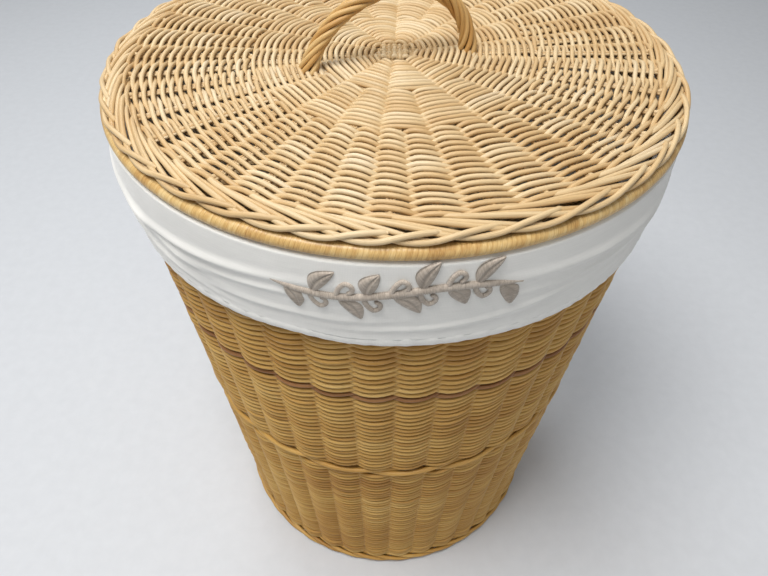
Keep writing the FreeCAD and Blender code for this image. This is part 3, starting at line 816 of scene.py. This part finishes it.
def cuff_unevenness(angle, share, height):
    """How far the cuff stands out of its smooth shape: long folds, slack and gathers at the hem."""
    total = np.zeros(np.broadcast(angle, share).shape)
    for centre, half, level, climb, width, depth in CUFF_FOLDS:
        away = degrees_past(centre, angle)
        place = level + climb * away / half
        envelope = np.exp(-(away / half) ** 2 * 1.3)
        offset = (share - place) * height / (width * MM)
        total += depth * MM * envelope * (np.exp(-offset ** 2) - 0.3 * np.exp(-(offset + 1.6) ** 2))
    middle = np.clip(4 * share * (1 - share), 0, 1)
    total *= np.clip(share * 6, 0, 1) * np.clip((1 - share) * 5, 0, 1)
    slow = wander(1, angle[0] % TURN, 14, 0.7 * MM)[0] + wander(1, angle[0] % TURN, 37, 0.3 * MM)[0]
    total += slow * middle
    total += cuff_gathers(angle) * np.exp(-(share / 0.22) ** 2)
    return np.maximum(total, 0.12 * total)


def cuff_belly(share):
    """How far the hanging part of the cuff stands out between the rim and the hem."""
    return 1.5 * MM * np.sin(math.pi * np.clip(share, 0, 1)) ** 0.8


def cuff_radius(height, share, angle):
    """Outer radius of the hanging part of the cuff."""
    puff = cuff_belly(share) + 2.1 * MM * np.exp(-(share / 0.14) ** 2)
    drop = CUFF_TOP - CUFF_BOTTOM
    tight = RIM_DRAW * np.clip(share, 0, 1) ** 4
    return wall_radius(height) + CUFF_GAP - tight + puff + cuff_unevenness(angle, share, drop)


def make_cuff():
    """The cuff: up inside the rim, over it, and down outside to the hem."""
    rim = CUFF_TOP
    inside = wall_radius(rim) - 2 * WALL_DEPTH - CUFF_GAP
    outside = wall_radius(rim) + CUFF_GAP - RIM_DRAW
    middle, half = (inside + outside) / 2, (outside - inside) / 2
    sweep = np.linspace(math.pi, 0.12, 12)
    roll = 2.4 * MM
    inner = polar(inside, AROUND, np.linspace(low("liner_cuff") + 50 * MM, rim - roll, 4)[:, None])
    over = polar(middle + half * np.cos(sweep)[:, None], AROUND,
                 (rim - roll + roll * np.sin(sweep))[:, None])
    share = np.linspace(1, 0.0, 64)[:, None] ** 0.95
    bottom = high("cuff_hem") - 2 * MM
    height = bottom + (rim - roll - bottom) * share
    hanging_share = (height - CUFF_BOTTOM) / (rim - CUFF_BOTTOM)
    wave = 0.9 * MM * wander(1, AROUND % TURN, 30, 1.0)[0] * (1 - share)
    outer = polar(cuff_radius(height, hanging_share, AROUND[None]), AROUND, height + wave)
    surface = np.concatenate([inner, over, outer])[::-1]
    travel = np.linalg.norm(np.diff(surface[:, 0], axis=0), axis=1)
    down = np.concatenate([[0], np.cumsum(travel)])[:, None]
    place = np.stack(np.broadcast_arrays(AROUND * outside, down, 0.0), axis=-1)
    cuff = cloth_piece("liner_cuff_cloth", surface, grid_normals(surface), place, "liner_cuff")
    hem = make_hem(wave[-1])


def make_hem(wave):
    """The stitched casing of the hem, gathered on its elastic."""
    bottom, top = low("cuff_hem"), high("cuff_hem")
    section = np.linspace(0, TURN, 22, endpoint=False)
    half_height, half_width = (top - bottom) / 2 + 0.6 * MM, 1.9 * MM
    height = (bottom + top) / 2 + half_height * np.sin(section)[:, None] + wave
    out = wall_radius(height) + HEM_GAP + half_width * np.cos(section)[:, None] + cuff_gathers(AROUND)
    surface = polar(out, AROUND, height)
    index = np.arange(len(section) * COLUMNS).reshape(len(section), COLUMNS)
    above, beside = np.roll(index, -1, axis=0), np.roll(index, -1, axis=1)
    quads = np.stack([index, beside, np.roll(above, -1, axis=1), above], axis=-1).reshape(-1, 4)
    place = np.stack(np.broadcast_arrays(AROUND * HEM_RADIUS, height, 0.0), axis=-1)
    piece = mesh_piece("cuff_hem_cloth", surface, [quads], "basket", CLOTH_MATERIAL,
                       {"cloth": place})
    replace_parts(piece, "cuff_hem")
    return piece


def make_bag():
    """The side of the bag inside the basket, slack between the rim and the base."""
    bottom, top = low("liner_bag"), high("liner_bag") + 2 * MM
    share = np.linspace(0, 1, 90)[:, None]
    height = bottom + (top - bottom) * share
    slack = wander(1, AROUND % TURN, 18, 1.6 * MM)[0] + wander(1, AROUND % TURN, 46, 0.6 * MM)[0]
    sag = np.sin(share * math.pi) ** 0.7
    ripple = 0.9 * MM * np.sin(share * 34 + 3 * np.sin(AROUND * 3)) * np.exp(-((share - 0.06) / 0.10) ** 2)
    radius = wall_radius(height) - 2 * WALL_DEPTH - CUFF_GAP - 1.6 * MM - (np.abs(slack) * sag) + ripple
    surface = polar(radius, AROUND, height)
    place = np.stack(np.broadcast_arrays(AROUND * BAG_RADIUS, height, 0.0), axis=-1)
    bag = cloth_piece("liner_bag_cloth", surface, grid_normals(surface), place, "liner_bag")


def make_liner_base():
    """The round bottom panel of the bag, lying on the base of the basket."""
    outer = wall_radius(low("liner_bag")) - 2 * WALL_DEPTH - CUFF_GAP - 1 * MM
    radius = np.linspace(outer, 0.6 * MM, 60)[:, None]
    angle = AROUND[None, ::3]
    ripple = 0.7 * MM * np.sin(radius * 70 + 2 * np.sin(angle * 3)) * np.sin(angle * 2 + radius * 25)
    height = high("liner_base") + ripple * np.clip(radius / (0.3 * outer), 0, 1)
    surface = polar(radius, angle, height)
    panel = cloth_piece("liner_base_cloth", surface, UP, surface * (1 - UP), "liner_base")


# ---- embroidery

SPRIG_MIDDLE = (low("embroidered_sprig") + high("embroidered_sprig")) / 2
SPRIG_HALF = 80 * MM
LEAF_RELIEF = 2.5 * MM
CURL_RADIUS = 5.8 * MM


def on_cuff(across, up, out):
    """A place on the front of the cuff: across and up from the sprig's middle, and out of the cloth."""
    height = SPRIG_MIDDLE + up
    share = (height - CUFF_BOTTOM) / (CUFF_TOP - CUFF_BOTTOM)
    radius = wall_radius(height) + CUFF_GAP + cuff_belly(share) + out
    angle = -math.pi / 2 + across / wall_radius(SPRIG_MIDDLE)
    return polar(radius, angle, height), polar(1.0, angle, 0.0)


def stitched_stroke(across, up, width, relief):
    """A padded satin-stitch stroke along a line on the cuff; its width may vary along it."""
    lines, facing = on_cuff(across, up, 0.6 * MM)
    return cane_mesh(lines[None], facing[None], width / 2, 12, closed=False, flat=relief)


def stitched_leaf(root, direction, length, width):
    """A leaf of two rows of slanting stitches, raised on each side of its vein."""
    along, across = np.meshgrid(np.linspace(0, 1, 40), np.linspace(-1, 1, 15), indexing="ij")
    outline = np.sin(math.pi * along ** 0.85) ** 0.75 * width / 2
    bend = 0.12 * length * np.sin(math.pi * along)
    run, side = along * length, across * outline + bend
    edge = np.clip(1 - across ** 2, 0, 1) ** 0.5
    vein = 1 - 0.55 * np.exp(-(across / 0.16) ** 2)
    slant = run - np.abs(side) * 0.8
    ridge = 1 + 0.10 * np.sin(TURN * slant / (1.1 * MM))
    relief = LEAF_RELIEF * edge * vein * ridge * np.sin(math.pi * along) ** 0.4
    cosine, sine = math.cos(direction), math.sin(direction)
    x = root[0] + run * cosine - side * sine
    y = root[1] + run * sine + side * cosine
    front, _ = on_cuff(x, y, relief - 0.1 * MM)
    back, _ = on_cuff(x, y, -0.5 * MM)
    rows, columns = along.shape
    index = np.arange(rows * columns).reshape(rows, columns)
    quads = np.stack([index[:-1, :-1], index[1:, :-1], index[1:, 1:], index[:-1, 1:]],
                     axis=-1).reshape(-1, 4)
    loop = np.concatenate([index[0, :-1], index[:-1, -1], index[-1, :0:-1], index[:0:-1, 0]])
    shift = rows * columns
    after = np.roll(loop, -1)
    rim = np.stack([loop, loop + shift, after + shift, after], axis=-1)
    grain = np.stack([slant, across, 0 * across], axis=-1)
    points = np.concatenate([front.reshape(-1, 3), back.reshape(-1, 3)])
    attributes = {"grain": np.concatenate([grain] * 2), "tone": np.full(2 * shift, RNG.random())}
    return points, [quads, quads[:, ::-1] + shift, rim], attributes


def stem_height(across):
    """The waving stem of the sprig."""
    return 5.0 * MM * np.sin(across / (24 * MM))


def make_sprig():
    """A waving stem with leaves and curled tendrils, in raised satin stitch."""
    parts = []
    across = np.linspace(-SPRIG_HALF, SPRIG_HALF, 260)
    taper = np.clip(1 - (across / SPRIG_HALF) ** 6, 0.25, 1)
    stitches = 1 + 0.07 * np.sin(TURN * across / (1.2 * MM))
    parts.append(stitched_stroke(across, stem_height(across), 5.6 * MM * taper * stitches, 0.7))
    for number, place in enumerate(np.linspace(-66, 66, 9) * MM):
        slope = math.atan2(stem_height(place + MM) - stem_height(place - MM), 2 * MM)
        side = 1 if number % 2 else -1
        lean = math.radians(57) * side
        root = (place, float(stem_height(place)) + side * 1.2 * MM)
        length = (24.0 if number % 3 else 20.0) * MM
        parts.append(stitched_leaf(root, slope + lean, length, 12.0 * MM))
    share = np.linspace(0, 1, 60)
    turn = math.pi * (1.0 - 1.45 * share)
    radius = CURL_RADIUS - 2.6 * MM * share
    width = (3.6 - 0.7 * share) * MM * (1 + 0.06 * np.sin(TURN * share * 22))
    for number, place in enumerate(np.linspace(-52.5, 46.5, 7) * MM):
        side = 1 if number % 2 else -1
        root = (place + 2.0 * MM, float(stem_height(place)) + side * 1.0 * MM)
        x = root[0] + CURL_RADIUS + radius * np.cos(turn)
        y = root[1] + side * (6.0 * MM * np.clip(share * 3, 0, 1) + radius * np.sin(turn))
        parts.append(stitched_stroke(x, y, width, 0.75))
    cane_piece("embroidered_sprig_thread", parts, "basket", "embroidery_thread", THREAD_MATERIAL,
               "embroidered_sprig")


# ---- nodes of the frame that stay

def finish_frame_nodes():
    """Give the canes and the elastic that stay from the frame their own materials."""
    elastic = cloth_material("elastic_weave", (226, 226, 222), (206, 206, 204))
    for name, material in (
        ("base_split_sticks", STAKE_MATERIAL), ("base_threaded_sticks", STAKE_MATERIAL),
        ("lid_hoop_core", STAKE_MATERIAL), ("handle_core", STAKE_MATERIAL), ("hem_elastic", elastic),
    ):
        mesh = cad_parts[name].data
        mesh.materials.clear()
        mesh.materials.append(material)


# ---- floor, light and camera

FLOOR_SIZE = 60                 # metres, so that no view shows its edge


def make_stage():
    """A plain pale floor."""
    bpy.ops.mesh.primitive_plane_add(size=FLOOR_SIZE)
    floor = bpy.context.object
    floor.name = "floor"
    shader = Shader("pale_floor")
    grain = shader.noise(shader.place(), 60.0, 4.0)
    colour = shader.ramp(grain, [(0.3, linear(208, 210, 213)), (0.7, linear(212, 214, 217))])
    floor.data.materials.append(shader.finish(colour, 0.85, grain, 0.3 * MM, bump=0.2))


def soft_light(name, place, target, width, power, colour=(1, 1, 1)):
    light = bpy.data.lights.new(name, "AREA")
    light.shape = "DISK"
    light.size = width
    light.energy = power
    light.color = colour
    lamp = placed(name, light)
    lamp.location = place
    lamp.rotation_euler = (Vector(target) - Vector(place)).to_track_quat("-Z", "Y").to_euler()


def make_light():
    """A pale sky, a soft light over the basket and two weaker ones behind and before it."""
    world = bpy.data.worlds.new("studio")
    world.use_nodes = True
    sky = world.node_tree.nodes["Background"].inputs
    sky["Color"].default_value = (0.95, 0.975, 1.0, 1)
    sky["Strength"].default_value = 0.31
    bpy.context.scene.world = world
    soft_light("overhead", (-0.45, -0.5, 2.15), (0, 0, 0.5), 0.9, 36, (1.0, 0.99, 0.98))
    soft_light("back_soft", (-0.7, 1.4, 1.9), (0, 0, 0.5), 1.2, 15, (0.92, 0.96, 1.0))
    soft_light("front_fill", (0.9, -2.0, 1.4), (0, 0, 0.4), 1.2, 5)


CAMERA_PLACE = (-5.7 * MM, -497.0 * MM, 785.9 * MM)
CAMERA_PITCH = math.radians(45.39)
CAMERA_ROLL = math.radians(0.81)
CAMERA_LENS = 30.94             # mm, on a sensor 36 mm wide


def make_camera():
    camera = bpy.data.cameras.new("camera")
    camera.lens = CAMERA_LENS
    camera.clip_start = 0.01
    holder = placed("camera", camera)
    holder.matrix_world = (
        Matrix.Translation(CAMERA_PLACE)
        @ Matrix.Rotation(math.pi / 2 - CAMERA_PITCH, 4, "X")
        @ Matrix.Rotation(CAMERA_ROLL, 4, "Z")
    )
    bpy.context.scene.camera = holder
    bpy.context.scene.view_settings.view_transform = "Standard"


make_wall()
make_stakes()
make_foot()
make_base()
make_lid()
make_handle()
make_cuff()
make_bag()
make_liner_base()
make_sprig()
finish_frame_nodes()
make_stage()
make_light()
make_camera()
